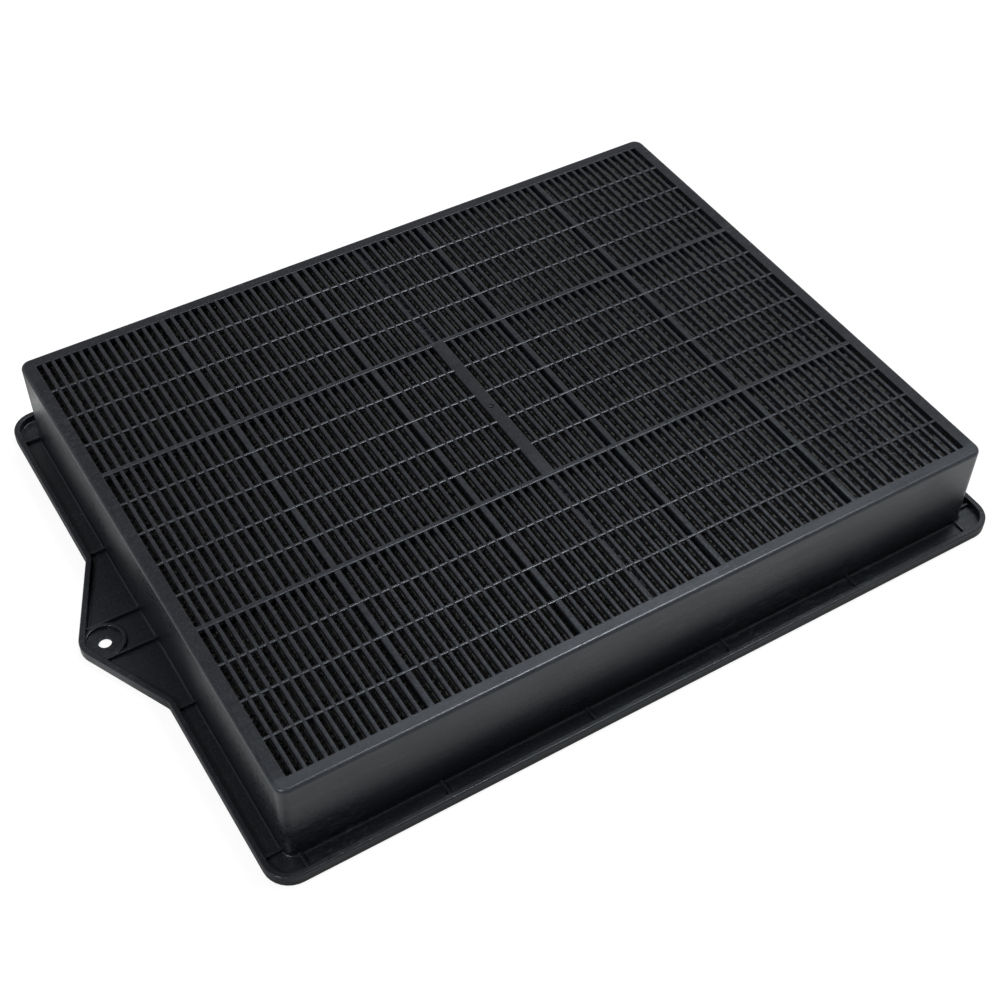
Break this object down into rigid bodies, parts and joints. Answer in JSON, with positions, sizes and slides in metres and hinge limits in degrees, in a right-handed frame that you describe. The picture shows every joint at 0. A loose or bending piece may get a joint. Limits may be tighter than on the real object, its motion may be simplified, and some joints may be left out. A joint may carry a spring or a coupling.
{
  "type": "cooker hood carbon filter",
  "caption": "Flat rectangular carbon filter cassette for a cooker hood: slotted grille faces, granule-filled compartments, channelled flange and a fixing tab.",
  "frame": {"origin": "under the middle of the overall outline, tab included, on the plane of the flange underside", "axes": "+X along the long side, away from the fixing tab; +Y along the short side; +Z from the flange underside to the grille face"},
  "size_m": [0.4278, 0.322, 0.052],
  "materials": {
    "black_plastic": "semi-matt black moulded polypropylene, lightly rubbed on its edges",
    "carbon_granules": "loose dull black activated carbon granules"
  },
  "bodies": {
    "root": {"housing": "black_plastic", "back_cover": "black_plastic", "carbon_bed_1_1": "carbon_granules", "carbon_bed_1_2": "carbon_granules", "carbon_bed_1_3": "carbon_granules", "carbon_bed_1_4": "carbon_granules", "carbon_bed_1_5": "carbon_granules", "carbon_bed_1_6": "carbon_granules", "carbon_bed_2_1": "carbon_granules", "carbon_bed_2_2": "carbon_granules", "carbon_bed_2_3": "carbon_granules", "carbon_bed_2_4": "carbon_granules", "carbon_bed_2_5": "carbon_granules", "carbon_bed_2_6": "carbon_granules", "carbon_bed_3_1": "carbon_granules", "carbon_bed_3_2": "carbon_granules", "carbon_bed_3_3": "carbon_granules", "carbon_bed_3_4": "carbon_granules", "carbon_bed_3_5": "carbon_granules", "carbon_bed_3_6": "carbon_granules"}
  },
  "joints": []
}
